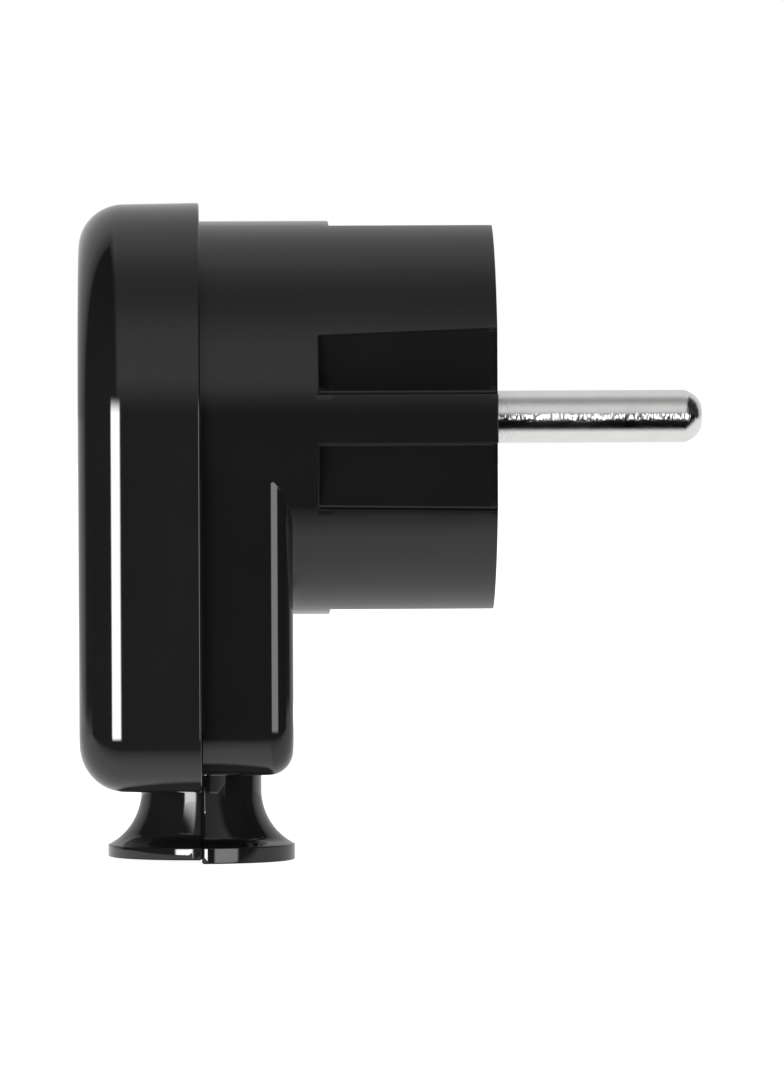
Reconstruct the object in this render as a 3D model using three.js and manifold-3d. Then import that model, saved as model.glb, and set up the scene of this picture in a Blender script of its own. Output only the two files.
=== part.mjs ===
// Right-angle rewirable earthed mains plug, two round pins, millimetres.
// Origin: centre of the engagement face, midway between the pins.
// +X leaves the face along the pins, +Z is up, away from the cable outlet.
import * as THREE from 'three';
import { mergeVertices } from 'three/addons/utils/BufferGeometryUtils.js';
import Module from 'manifold-3d';

const wasm = await Module();
wasm.setup();

// ---------- driving dimensions ----------

const WELD = 1e-4;
const OVERCUT = 1;
const SIDES = [-1, 1];

const FACETS = { plug: 72, pin: 24, boss: 20, screw: 16, mouth: 40, corner: 4, rounding: 4, bend: 3 };

const PLUG = { radius: 18.3, wall: 2.2, faceWall: 3, faceChamfer: 0.5 };
const PARTING_X = -27.1;
const LEDGE_X = -16.8;
const DEEP_BORE_RADIUS = 13.4;

const LEG = { halfWidth: 17.4, frontX: -18.6, bottomZ: -32.7, corner: 4.5, rounding: 2.3 };
const TONGUE = { thickness: 0.9, height: 1.5, endZ: -20 };

const COVER = { radius: 20, backX: -38.4, bottomZ: -34.2, corner: 5.5, rounding: 4, wall: 2.6 };

const GROOVE = { halfWidth: 4.3, floorZ: 15.45, rearX: -15.1, noseLength: 1, noseZ: 16.2 };
const STRAP_SLOT = { halfWidth: 3.45, topZ: 16.55 };

const RECESS = {
  rearX: -16.3,
  floorY: 15.9,
  upper: { inner: 2.1, outerRear: 7.4, outerFace: 8 },
  lower: { inner: -2.4, outerRear: -8.3, outerFace: -8.5 },
};

const MOUTH = {
  neckRadius: 5.6,
  flareRadius: 5.6,
  flareTopZ: -34.6,
  flareEndZ: -39.5,
  lipRadius: 8.7,
  lipTopZ: -39.55,
  frontLipBottomZ: -41.05,
  rearLipBottomZ: -40.7,
  boreRadius: 4.5,
  boreFlareTopZ: -36.5,
  boreMouthRadius: 7.3,
  steps: 7,
};

const PIN = {
  y: 9.5,
  radius: 2.4,
  tipX: 19,
  tipHeight: 1.5,
  tipFlatRadius: 0.7,
  tipSteps: 4,
  rearX: -20.4,
  collarRadius: 3.6,
  collarFrontX: -13.6,
  collarRearX: -16.8,
  tapDepth: 7,
};
const PIN_BOSS = { radius: 4.2, rearX: -13.5, bore: 2.45 };

const CARRIER = {
  radius: 15.8,
  frontX: -16.9,
  rearX: -20.5,
  pinBore: 2.55,
  screwBore: 1.8,
  collarBore: 2.85,
};
const BARRIER = { y: 4.6, thickness: 0.9, halfHeight: 8, rearX: -25.5 };

const PLATE = { halfWidth: 4, halfHeight: 4.5, thickness: 0.9, frontX: -20.55, flangeHeight: 3.4 };
const CLAMP_WASHER = { halfWidth: 2.9, thickness: 1, gap: 0.1, bore: 1.65 };

const STRAP = {
  halfWidth: 3.2,
  thickness: 0.8,
  frontX: -20.55,
  outerZ: 16.4,
  tipX: -1.2,
  outerBend: 1.2,
  innerBend: 0.4,
  collarRadius: 2.6,
  collarLength: 2.9,
};
const EARTH_TERMINAL_Z = -1;

const EARTH_SOCKET = {
  z: 10,
  radius: 3,
  bore: 2.5,
  frontX: -1.6,
  floorX: -15.4,
  rearX: -16.75,
  shank: 1.5,
  shankBore: 1.6,
  headRadius: 2.4,
  headFrontX: -21.45,
  headRearX: -22.3,
  slotWidth: 0.7,
  slotLength: 9,
};
const EARTH_HOLE = { radius: 3.25, bossRadius: 4.3, bossRearX: -6 };

const SCREW = { shank: 1.5, bore: 1.6, point: 0.5, recessWidth: 0.8, recessSpan: 3.4, recessDepth: 1.2 };
const TERMINAL_HEAD = { radius: 2.75, height: 2, dome: 0.6 };
const TERMINAL_SHANK = 6.6;
const EARTH_SHANK = 4.6;

const CORD_CLAMP = {
  z: -19.2,
  screwY: 8.6,
  frontX: -31.4,
  thickness: 2.2,
  halfLength: 12,
  halfHeight: 2.7,
  toothHeight: 0.6,
  toothHalfWidth: 0.5,
  toothZ: 1.5,
  toothHalfLength: 4.6,
  bossRadius: 2.8,
  bossRearX: -26,
  boreEndX: -19.8,
  shank: 10.4,
};
const CORD_HEAD = { radius: 2.6, height: 1.6, dome: 0.5 };
const SEAT_RIB = { halfLength: 5, thickness: 1, rearX: -24.6, offsetZ: 1.8 };

const HOUSING_HEAD = { radius: 2.9, height: 2.2, dome: 0.7 };
const HOUSING_WASHER = { radius: 2.95, thickness: 0.5, bore: 1.65 };
const COUNTERBORE = { radius: 3.2, bossRadius: 4.3 };
const FACE_SCREW = { y: 0, z: -8.5, seatX: -4, shank: 30, bossRearX: -16.7 };
const LEG_SCREW = { y: 12.2, z: -27, seatX: -21.8, shank: 10 };

const NUT = { halfWidth: 2.75, thickness: 2.4, bore: 1.65, pocketHalfWidth: 2.9, pocketThickness: 2.6 };
const NUT_BLOCK = { halfWidth: 4.3, boreBeyond: 1.8, partingGap: 0.2 };
const FACE_NUT_X = -30.2;
const LEG_NUT_X = -28.6;
const PRESS_POST = { radius: 3, frontX: -21.7, rootX: -29 };
const SEAT_GAP = 0.05;

// ---------- materials ----------

function material(color, roughness, metalness) {
  return new THREE.MeshStandardMaterial({ color, roughness, metalness });
}

function blackShell() {
  return material(0x0c0c0d, 0.12, 0);
}

function carrierPlastic() {
  return material(0xd9d6cc, 0.55, 0);
}

function clampPlastic() {
  return material(0x4a4c4f, 0.6, 0);
}

function nickelBrass() {
  return material(0xc9c6bd, 0.28, 1);
}

function plainBrass() {
  return material(0xc9a04f, 0.32, 1);
}

function zincSteel() {
  return material(0xb9bec4, 0.35, 1);
}

// ---------- solids ----------

function solidFrom(geometry) {
  const bare = geometry.index ? geometry.toNonIndexed() : geometry;
  bare.deleteAttribute('normal');
  bare.deleteAttribute('uv');
  const welded = mergeVertices(bare, WELD);
  const corners = [];
  for (let i = 0; i < welded.index.count; i += 3) {
    const [a, b, c] = [0, 1, 2].map((k) => welded.index.getX(i + k));
    if (a !== b && b !== c && c !== a) {
      corners.push(a, b, c);
    }
  }
  const mesh = new wasm.Mesh({
    numProp: 3,
    vertProperties: new Float32Array(welded.attributes.position.array),
    triVerts: new Uint32Array(corners),
  });
  return new wasm.Manifold(mesh);
}

function ordered(a, b) {
  return a < b ? [a, b] : [b, a];
}

function joined(solids) {
  return solids.reduce((sum, solid) => sum.add(solid));
}

function without(solid, cutters) {
  return cutters.reduce((rest, cutter) => rest.subtract(cutter), solid);
}

function meshOf(name, solid, look) {
  const result = solid.getMesh();
  const geometry = new THREE.BufferGeometry();
  geometry.setAttribute('position', new THREE.BufferAttribute(result.vertProperties, 3));
  geometry.setIndex(new THREE.BufferAttribute(result.triVerts, 1));
  geometry.computeVertexNormals();
  const mesh = new THREE.Mesh(geometry, look);
  mesh.name = name;
  return mesh;
}

function box(min, max) {
  const size = max.map((value, i) => value - min[i]);
  const middle = max.map((value, i) => (value + min[i]) / 2);
  const geometry = new THREE.BoxGeometry(...size);
  geometry.translate(...middle);
  return solidFrom(geometry);
}

// Revolves a profile of [x, radius] pairs, rising in x on the outside, about the X axis.
function turnedX(profile, facets, y = 0, z = 0) {
  const geometry = new THREE.LatheGeometry(profile.map(([x, r]) => new THREE.Vector2(r, x)), facets);
  geometry.applyMatrix4(new THREE.Matrix4().set(0, 1, 0, 0, 0, 0, 1, y, 1, 0, 0, z, 0, 0, 0, 1));
  return solidFrom(geometry);
}

// Revolves a profile of [z, radius] pairs, rising in z on the outside, about a Z axis at x.
function turnedZ(profile, facets, x) {
  const geometry = new THREE.LatheGeometry(profile.map(([z, r]) => new THREE.Vector2(r, z)), facets);
  geometry.applyMatrix4(new THREE.Matrix4().set(0, 0, 1, x, 1, 0, 0, 0, 0, 1, 0, 0, 0, 0, 0, 1));
  return solidFrom(geometry);
}

function rod(x0, x1, radius, facets, y = 0, z = 0) {
  return turnedX([[x0, 0], [x0, radius], [x1, radius], [x1, 0]], facets, y, z);
}

function arc(u, v, radius, from, to, steps) {
  const points = [];
  for (let i = 0; i <= steps; i += 1) {
    const angle = from + ((to - from) * i) / steps;
    points.push(new THREE.Vector2(u + radius * Math.cos(angle), v + radius * Math.sin(angle)));
  }
  return points;
}

// Outline in Y and Z: half round over the plug axis, straight sides, rounded bottom corners.
function archShape(radius, bottomZ, corner) {
  const half = Math.PI / 2;
  const points = [
    ...arc(0, 0, radius, 0, Math.PI, FACETS.plug / 2),
    ...arc(corner - radius, bottomZ + corner, corner, 2 * half, 3 * half, FACETS.corner),
    ...arc(radius - corner, bottomZ + corner, corner, 3 * half, 4 * half, FACETS.corner),
  ];
  return new THREE.Shape(points);
}

function facingX(geometry, x) {
  geometry.applyMatrix4(new THREE.Matrix4().set(0, 0, 1, x, 1, 0, 0, 0, 0, 1, 0, 0, 0, 0, 0, 1));
  return solidFrom(geometry);
}

function extrudedX(shape, x0, x1) {
  return facingX(new THREE.ExtrudeGeometry(shape, { depth: x1 - x0, bevelEnabled: false }), x0);
}

// Extrusion whose two ends are rounded inwards by the given radius.
function roundEndedX(shape, x0, x1, rounding) {
  const options = {
    depth: x1 - x0 - 2 * rounding,
    bevelEnabled: true,
    bevelThickness: rounding,
    bevelSize: rounding,
    bevelOffset: -rounding,
    bevelSegments: FACETS.rounding,
  };
  return facingX(new THREE.ExtrudeGeometry(shape, options), x0 + rounding);
}

// Extrusion of an outline in X and Z between two Y planes.
function extrudedY(points, y0, y1) {
  const options = { depth: y1 - y0, bevelEnabled: false };
  const geometry = new THREE.ExtrudeGeometry(new THREE.Shape(points), options);
  geometry.applyMatrix4(new THREE.Matrix4().set(1, 0, 0, 0, 0, 0, -1, y1, 0, 1, 0, 0, 0, 0, 0, 1));
  return solidFrom(geometry);
}

// ---------- cable outlet ----------

function mouthOuterProfile(lipBottomZ, topZ) {
  const flare = [];
  for (let i = 0; i <= MOUTH.steps; i += 1) {
    const drop = ((MOUTH.flareTopZ - MOUTH.flareEndZ) * (MOUTH.steps - i)) / MOUTH.steps;
    const inset = Math.sqrt(MOUTH.flareRadius ** 2 - drop ** 2);
    flare.push([MOUTH.flareTopZ - drop, MOUTH.neckRadius + MOUTH.flareRadius - inset]);
  }
  return [
    [lipBottomZ, 0],
    [lipBottomZ, MOUTH.lipRadius],
    [MOUTH.lipTopZ, MOUTH.lipRadius],
    ...flare,
    [topZ, MOUTH.neckRadius],
    [topZ, 0],
  ];
}

function mouthBore(lipBottomZ, topZ) {
  const depth = MOUTH.boreFlareTopZ - lipBottomZ;
  const spread = MOUTH.boreMouthRadius - MOUTH.boreRadius;
  const flare = [];
  for (let i = 0; i <= MOUTH.steps; i += 1) {
    const down = (MOUTH.steps - i) / MOUTH.steps;
    const widening = spread * (1 - Math.sqrt(1 - down ** 2));
    flare.push([MOUTH.boreFlareTopZ - depth * down, MOUTH.boreRadius + widening]);
  }
  const profile = [
    [lipBottomZ - OVERCUT, 0],
    [lipBottomZ - OVERCUT, MOUTH.boreMouthRadius],
    ...flare,
    [topZ, MOUTH.boreRadius],
    [topZ, 0],
  ];
  return turnedZ(profile, FACETS.mouth, PARTING_X);
}

// One half of the bell mouth, on the front (+1) or the rear (-1) of the parting plane.
function mouthHalf(side, lipBottomZ, topZ) {
  const whole = turnedZ(mouthOuterProfile(lipBottomZ, topZ), FACETS.mouth, PARTING_X);
  const reach = MOUTH.lipRadius + OVERCUT;
  const x = ordered(PARTING_X, PARTING_X + side * reach);
  return whole.intersect(box([x[0], -reach, lipBottomZ - OVERCUT], [x[1], reach, topZ + OVERCUT]));
}

// ---------- front body ----------

function plugBarrel() {
  const { radius, faceChamfer } = PLUG;
  const rear = [[PARTING_X, 0], [PARTING_X, radius]];
  const front = [[-faceChamfer, radius], [0, radius - faceChamfer], [0, 0]];
  const profile = [...rear, ...front];
  return turnedX(profile, FACETS.plug);
}

function legBlock() {
  const shape = archShape(LEG.halfWidth, LEG.bottomZ, LEG.corner);
  const rearX = PARTING_X - LEG.rounding - OVERCUT;
  const long = roundEndedX(shape, rearX, LEG.frontX, LEG.rounding);
  const reach = COVER.radius - COVER.bottomZ;
  return long.subtract(box([rearX - OVERCUT, -reach, -reach], [PARTING_X, reach, reach]));
}

function bodyCavities() {
  const inner = PLUG.radius - PLUG.wall;
  const legShape = archShape(LEG.halfWidth - PLUG.wall, LEG.bottomZ + PLUG.wall, LEG.corner - PLUG.wall);
  const rearX = PARTING_X - TONGUE.height - OVERCUT;
  return [
    extrudedX(legShape, rearX, LEG.frontX - PLUG.wall),
    rod(rearX, LEDGE_X, inner, FACETS.plug),
    rod(LEDGE_X - OVERCUT, -PLUG.faceWall, DEEP_BORE_RADIUS, FACETS.plug),
  ];
}

function earthGroove(side) {
  const reach = PLUG.radius + OVERCUT;
  const { halfWidth, floorZ, rearX, noseLength, noseZ } = GROOVE;
  const spans = [[rearX, -noseLength, floorZ], [-noseLength - WELD, OVERCUT, noseZ]];
  return spans.map(([x0, x1, z]) => {
    const zs = ordered(side * z, side * reach);
    return box([x0, -halfWidth, zs[0]], [x1, halfWidth, zs[1]]);
  });
}

function strapSlot(side) {
  const zs = ordered(side * GROOVE.floorZ, side * STRAP_SLOT.topZ);
  const rearX = PARTING_X - TONGUE.height - OVERCUT;
  return box([rearX, -STRAP_SLOT.halfWidth, zs[0]], [GROOVE.rearX + OVERCUT, STRAP_SLOT.halfWidth, zs[1]]);
}

function sideRecess(side, { inner, outerRear, outerFace }) {
  const outline = [
    new THREE.Vector2(RECESS.rearX, inner),
    new THREE.Vector2(OVERCUT, inner),
    new THREE.Vector2(OVERCUT, outerFace),
    new THREE.Vector2(RECESS.rearX, outerRear),
  ];
  const ys = ordered(side * RECESS.floorY, side * (PLUG.radius + OVERCUT));
  return extrudedY(outline, ys[0], ys[1]);
}

// Locating tongue that enters the cover around the top and the sides.
function coverTongue() {
  const inner = PLUG.radius - PLUG.wall;
  const innerBottom = LEG.bottomZ + PLUG.wall;
  const innerCorner = LEG.corner - PLUG.wall;
  const { thickness, height, endZ } = TONGUE;
  const outerShape = archShape(inner + thickness, innerBottom - thickness, innerCorner + thickness);
  const band = extrudedX(outerShape, PARTING_X - height, PARTING_X + height);
  const reach = COVER.radius;
  return band.intersect(box([PARTING_X - height, -reach, endZ], [PARTING_X + height, reach, reach]));
}

function cableSeatRibs() {
  const { halfLength, thickness, rearX, offsetZ } = SEAT_RIB;
  return SIDES.map((side) => {
    const z = CORD_CLAMP.z + side * offsetZ;
    const frontX = LEG.frontX - PLUG.wall / 2;
    return box([rearX, -halfLength, z - thickness / 2], [frontX, halfLength, z + thickness / 2]);
  });
}

function bodyBosses() {
  const intoFace = -PLUG.faceWall / 2;
  const intoLeg = LEG.frontX - PLUG.wall / 2;
  const bosses = [
    rod(FACE_SCREW.bossRearX, intoFace, COUNTERBORE.bossRadius, FACETS.boss, FACE_SCREW.y, FACE_SCREW.z),
    rod(EARTH_HOLE.bossRearX, intoFace, EARTH_HOLE.bossRadius, FACETS.boss, 0, EARTH_SOCKET.z),
  ];
  for (const side of SIDES) {
    const legY = side * LEG_SCREW.y;
    const clampY = side * CORD_CLAMP.screwY;
    bosses.push(rod(PIN_BOSS.rearX, intoFace, PIN_BOSS.radius, FACETS.boss, side * PIN.y, 0));
    bosses.push(rod(PARTING_X, intoLeg, COUNTERBORE.bossRadius, FACETS.boss, legY, LEG_SCREW.z));
    bosses.push(
      rod(CORD_CLAMP.bossRearX, intoLeg, CORD_CLAMP.bossRadius, FACETS.boss, clampY, CORD_CLAMP.z),
    );
  }
  return bosses;
}

function bodyBores() {
  const { radius } = COUNTERBORE;
  const bores = [
    rod(FACE_SCREW.bossRearX - OVERCUT, OVERCUT, SCREW.bore, FACETS.screw, FACE_SCREW.y, FACE_SCREW.z),
    rod(FACE_SCREW.seatX, OVERCUT, radius, FACETS.boss, FACE_SCREW.y, FACE_SCREW.z),
    rod(EARTH_HOLE.bossRearX - OVERCUT, OVERCUT, EARTH_HOLE.radius, FACETS.boss, 0, EARTH_SOCKET.z),
  ];
  for (const side of SIDES) {
    const legY = side * LEG_SCREW.y;
    const clampY = side * CORD_CLAMP.screwY;
    const legFront = LEG.frontX + OVERCUT;
    bores.push(rod(PIN_BOSS.rearX - OVERCUT, OVERCUT, PIN_BOSS.bore, FACETS.pin, side * PIN.y, 0));
    bores.push(rod(PARTING_X - OVERCUT, legFront, SCREW.bore, FACETS.screw, legY, LEG_SCREW.z));
    bores.push(rod(LEG_SCREW.seatX, legFront, radius, FACETS.boss, legY, LEG_SCREW.z));
    const clampRear = CORD_CLAMP.bossRearX - OVERCUT;
    bores.push(rod(clampRear, CORD_CLAMP.boreEndX, SCREW.bore, FACETS.screw, clampY, CORD_CLAMP.z));
  }
  return bores;
}

function frontBody() {
  const innerBottom = LEG.bottomZ + PLUG.wall;
  const skin = joined([
    plugBarrel(),
    legBlock(),
    coverTongue(),
    mouthHalf(1, MOUTH.frontLipBottomZ, innerBottom),
  ]);
  const shell = without(skin, [...bodyCavities(), ...SIDES.flatMap(earthGroove), ...SIDES.map(strapSlot)]);
  const recesses = SIDES.flatMap((side) => [sideRecess(side, RECESS.upper), sideRecess(side, RECESS.lower)]);
  const fitted = joined([without(shell, recesses), ...bodyBosses(), ...cableSeatRibs()]);
  const cableWay = mouthBore(MOUTH.frontLipBottomZ, CORD_CLAMP.z + CORD_CLAMP.halfHeight);
  return meshOf('front_body', without(fitted, [...bodyBores(), cableWay]), blackShell());
}

// ---------- rear cover ----------

function coverShell() {
  const { radius, backX, bottomZ, corner, rounding, wall } = COVER;
  const frontX = PARTING_X + rounding + OVERCUT;
  const long = roundEndedX(archShape(radius, bottomZ, corner), backX, frontX, rounding);
  const reach = radius - bottomZ;
  const outside = long.subtract(box([PARTING_X, -reach, -reach], [frontX + OVERCUT, reach, reach]));
  const inner = archShape(radius - wall, bottomZ + wall, corner - wall);
  return outside.subtract(extrudedX(inner, backX + wall, PARTING_X + OVERCUT));
}

function nutBlock(frontX, y, z) {
  const { halfWidth } = NUT_BLOCK;
  const rearX = COVER.backX + COVER.wall / 2;
  return box([rearX, y - halfWidth, z - halfWidth], [frontX, y + halfWidth, z + halfWidth]);
}

// Pocket a square nut drops into from above, and the screw's way through the block.
function nutPocket(nutX, frontX, y, z) {
  const { pocketHalfWidth: half, pocketThickness, thickness } = NUT;
  const slack = (pocketThickness - thickness) / 2;
  const top = z + NUT_BLOCK.halfWidth + OVERCUT;
  const pocket = box([nutX - thickness - slack, y - half, z - half], [nutX + slack, y + half, top]);
  return pocket.add(rod(nutX - thickness - NUT_BLOCK.boreBeyond, frontX, SCREW.bore, FACETS.screw, y, z));
}

function rearCover() {
  const blockFrontX = PARTING_X - NUT_BLOCK.partingGap;
  const { rootX, frontX, radius } = PRESS_POST;
  const solids = [
    coverShell(),
    mouthHalf(-1, MOUTH.rearLipBottomZ, COVER.bottomZ + COVER.wall),
    nutBlock(rootX, FACE_SCREW.y, FACE_SCREW.z),
    rod(rootX - OVERCUT, frontX, radius, FACETS.boss, FACE_SCREW.y, FACE_SCREW.z),
  ];
  const cutters = [
    nutPocket(FACE_NUT_X, frontX + OVERCUT, FACE_SCREW.y, FACE_SCREW.z),
    mouthBore(MOUTH.rearLipBottomZ, COVER.bottomZ + COVER.wall + OVERCUT),
  ];
  for (const side of SIDES) {
    solids.push(nutBlock(blockFrontX, side * LEG_SCREW.y, LEG_SCREW.z));
    cutters.push(nutPocket(LEG_NUT_X, blockFrontX + OVERCUT, side * LEG_SCREW.y, LEG_SCREW.z));
  }
  return meshOf('rear_cover', without(joined(solids), cutters), blackShell());
}

// ---------- contacts ----------

function powerPin(name, side) {
  const { radius, tipX, tipHeight, tipFlatRadius, tipSteps, rearX } = PIN;
  const dome = [];
  for (let i = 0; i <= tipSteps; i += 1) {
    const angle = (Math.PI / 2) * (i / tipSteps);
    const r = tipFlatRadius + (radius - tipFlatRadius) * Math.cos(angle);
    dome.push([tipX - tipHeight + tipHeight * Math.sin(angle), r]);
  }
  const profile = [
    [rearX, 0],
    [rearX, radius],
    [PIN.collarRearX, radius],
    [PIN.collarRearX, PIN.collarRadius],
    [PIN.collarFrontX, PIN.collarRadius],
    [PIN.collarFrontX, radius],
    ...dome,
    [tipX, 0],
  ];
  const blank = turnedX(profile, FACETS.pin, side * PIN.y, 0);
  const tapped = rod(rearX - OVERCUT, rearX + PIN.tapDepth, SCREW.bore, FACETS.screw, side * PIN.y, 0);
  return meshOf(name, blank.subtract(tapped), nickelBrass());
}

function contactCarrier() {
  const { radius, frontX, rearX } = CARRIER;
  const disc = rod(rearX, frontX, radius, FACETS.plug);
  const barriers = SIDES.map((side) => {
    const y = side * BARRIER.y;
    const half = BARRIER.thickness / 2;
    const height = BARRIER.halfHeight;
    return box([BARRIER.rearX, y - half, -height], [rearX + OVERCUT, y + half, height]);
  });
  const holes = [
    [CARRIER.screwBore, FACE_SCREW.y, FACE_SCREW.z],
    [CARRIER.collarBore, 0, EARTH_TERMINAL_Z],
    [EARTH_SOCKET.shankBore, 0, EARTH_SOCKET.z],
    ...SIDES.map((side) => [CARRIER.pinBore, side * PIN.y, 0]),
  ];
  const bores = holes.map(([r, y, z]) => rod(rearX - OVERCUT, frontX + OVERCUT, r, FACETS.boss, y, z));
  const notches = SIDES.map((side) => {
    const zs = ordered(side * (GROOVE.floorZ - STRAP.innerBend), side * (radius + OVERCUT));
    const half = STRAP_SLOT.halfWidth;
    return box([rearX - OVERCUT, -half, zs[0]], [frontX + OVERCUT, half, zs[1]]);
  });
  const insert = without(joined([disc, ...barriers]), [...bores, ...notches]);
  return meshOf('contact_carrier', insert, carrierPlastic());
}

function terminalPlate(name, side) {
  const { halfWidth, halfHeight, thickness, frontX, flangeHeight } = PLATE;
  const y = side * PIN.y;
  const rearX = frontX - thickness;
  const flangeX = rearX - flangeHeight;
  const channel = box([flangeX, y - halfWidth, -halfHeight], [frontX, y + halfWidth, halfHeight]);
  const inside = halfWidth - thickness;
  const hollow = box(
    [flangeX - OVERCUT, y - inside, -halfHeight - OVERCUT],
    [rearX, y + inside, halfHeight + OVERCUT],
  );
  const bore = rod(rearX - OVERCUT, frontX + OVERCUT, SCREW.bore, FACETS.screw, y, 0);
  return meshOf(name, without(channel, [hollow, bore]), plainBrass());
}

// Square washer that presses a conductor onto the metal whose rear side is at rearX.
function clampWasher(name, rearX, y, z) {
  const { halfWidth, thickness, gap, bore } = CLAMP_WASHER;
  const x = rearX - gap;
  const plate = box([x - thickness, y - halfWidth, z - halfWidth], [x, y + halfWidth, z + halfWidth]);
  const hole = rod(x - thickness - OVERCUT, x + OVERCUT, bore, FACETS.screw, y, z);
  return meshOf(name, plate.subtract(hole), zincSteel());
}

// Screw along X with its head seat at seatX; side is the way the head faces.
function crossHeadScrew(name, side, head, shankLength, seatX, y, z) {
  const outline = [
    [-shankLength, 0],
    [-shankLength, SCREW.shank - SCREW.point],
    [SCREW.point - shankLength, SCREW.shank],
    [0, SCREW.shank],
    [0, head.radius],
    [head.height - head.dome, head.radius],
    [head.height, head.radius - head.dome],
    [head.height, 0],
  ];
  const faced = side > 0 ? outline : outline.map(([x, r]) => [-x, r]).reverse();
  const blank = turnedX(faced.map(([x, r]) => [seatX + x, r]), FACETS.screw, y, z);
  const { recessWidth, recessSpan, recessDepth } = SCREW;
  const floorX = seatX + side * (head.height - recessDepth);
  const xs = ordered(floorX, seatX + side * (head.height + OVERCUT));
  const cuts = [[recessWidth / 2, recessSpan / 2], [recessSpan / 2, recessWidth / 2]].map(([dy, dz]) => {
    return box([xs[0], y - dy, z - dz], [xs[1], y + dy, z + dz]);
  });
  return meshOf(name, without(blank, cuts), zincSteel());
}

function strapOutline() {
  const { frontX, thickness, outerZ, tipX, outerBend, innerBend } = STRAP;
  const rearX = frontX - thickness;
  const innerZ = outerZ - thickness;
  const half = Math.PI / 2;
  const outerX = rearX + outerBend;
  const outerTurn = outerZ - outerBend;
  const innerX = frontX + innerBend;
  const innerTurn = innerZ - innerBend;
  return [
    new THREE.Vector2(tipX, outerZ),
    ...arc(outerX, outerTurn, outerBend, half, 2 * half, FACETS.bend),
    ...arc(outerX, -outerTurn, outerBend, 2 * half, 3 * half, FACETS.bend),
    new THREE.Vector2(tipX, -outerZ),
    new THREE.Vector2(tipX, -innerZ),
    ...arc(innerX, -innerTurn, innerBend, 3 * half, 2 * half, FACETS.bend),
    ...arc(innerX, innerTurn, innerBend, 2 * half, half, FACETS.bend),
    new THREE.Vector2(tipX, innerZ),
  ];
}

function earthStrap() {
  const { halfWidth, thickness, frontX, collarRadius, collarLength } = STRAP;
  const strip = extrudedY(strapOutline(), -halfWidth, halfWidth);
  const collarFrontX = frontX + collarLength;
  const collar = rod(frontX - thickness / 2, collarFrontX, collarRadius, FACETS.boss, 0, EARTH_TERMINAL_Z);
  const holes = [
    [SCREW.bore, 0, EARTH_TERMINAL_Z],
    [CARRIER.screwBore, FACE_SCREW.y, FACE_SCREW.z],
    [EARTH_SOCKET.shankBore, 0, EARTH_SOCKET.z],
  ];
  const bores = holes.map(([r, y, z]) => {
    return rod(frontX - thickness - OVERCUT, collarFrontX + OVERCUT, r, FACETS.screw, y, z);
  });
  return meshOf('earth_strap', without(strip.add(collar), bores), plainBrass());
}

// Split spring tube that grips a socket's earth pin, riveted through carrier and strap.
function earthPinSocket() {
  const s = EARTH_SOCKET;
  const profile = [
    [s.headRearX, 0],
    [s.headRearX, s.headRadius],
    [s.headFrontX, s.headRadius],
    [s.headFrontX, s.shank],
    [s.rearX, s.shank],
    [s.rearX, s.radius],
    [s.frontX, s.radius],
    [s.frontX, s.bore],
    [s.floorX, s.bore],
    [s.floorX, 0],
  ];
  const tube = turnedX(profile, FACETS.boss, 0, s.z);
  const half = s.slotWidth / 2;
  const reach = s.radius + OVERCUT;
  const slots = [[half, reach], [reach, half]].map(([dy, dz]) => {
    return box([s.frontX - s.slotLength, -dy, s.z - dz], [s.frontX + OVERCUT, dy, s.z + dz]);
  });
  return meshOf('earth_pin_socket', without(tube, slots), plainBrass());
}

// ---------- cord clamp ----------

function cordClampBar() {
  const c = CORD_CLAMP;
  const rearX = c.frontX - c.thickness;
  const lowest = c.z - c.halfHeight;
  const highest = c.z + c.halfHeight;
  const bar = box([rearX, -c.halfLength, lowest], [c.frontX, c.halfLength, highest]);
  const teeth = SIDES.map((side) => {
    const z = c.z + side * c.toothZ;
    const half = c.toothHalfWidth;
    return box(
      [c.frontX - c.thickness / 2, -c.toothHalfLength, z - half],
      [c.frontX + c.toothHeight, c.toothHalfLength, z + half],
    );
  });
  const bores = SIDES.map((side) => {
    return rod(rearX - OVERCUT, c.frontX + OVERCUT, CLAMP_WASHER.bore, FACETS.screw, side * c.screwY, c.z);
  });
  return meshOf('cord_clamp_bar', without(joined([bar, ...teeth]), bores), clampPlastic());
}

// ---------- housing fasteners ----------

function housingWasher(name, seatX, y, z) {
  const { radius, thickness, bore } = HOUSING_WASHER;
  const x = seatX + SEAT_GAP;
  const disc = rod(x, x + thickness, radius, FACETS.screw, y, z);
  const hole = rod(x - OVERCUT, x + OVERCUT, bore, FACETS.screw, y, z);
  return meshOf(name, disc.subtract(hole), zincSteel());
}

function squareNut(name, frontX, y, z) {
  const { halfWidth, thickness, bore } = NUT;
  const rearX = frontX - thickness;
  const block = box([rearX, y - halfWidth, z - halfWidth], [frontX, y + halfWidth, z + halfWidth]);
  const hole = rod(rearX - OVERCUT, frontX + OVERCUT, bore, FACETS.screw, y, z);
  return meshOf(name, block.subtract(hole), zincSteel());
}

function housingFasteners(label, place, nutX, y) {
  const { seatX, shank, z } = place;
  const headSeatX = seatX + HOUSING_WASHER.thickness + 2 * SEAT_GAP;
  return [
    crossHeadScrew(`housing_screw_${label}`, 1, HOUSING_HEAD, shank, headSeatX, y, z),
    housingWasher(`housing_washer_${label}`, seatX, y, z),
    squareNut(`housing_nut_${label}`, nutX, y, z),
  ];
}

// ---------- assembly ----------

const plateRearX = PLATE.frontX - PLATE.thickness;
const strapRearX = STRAP.frontX - STRAP.thickness;
const washerStack = CLAMP_WASHER.gap + CLAMP_WASHER.thickness + SEAT_GAP;
const clampSeatX = CORD_CLAMP.frontX - CORD_CLAMP.thickness - SEAT_GAP;

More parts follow.
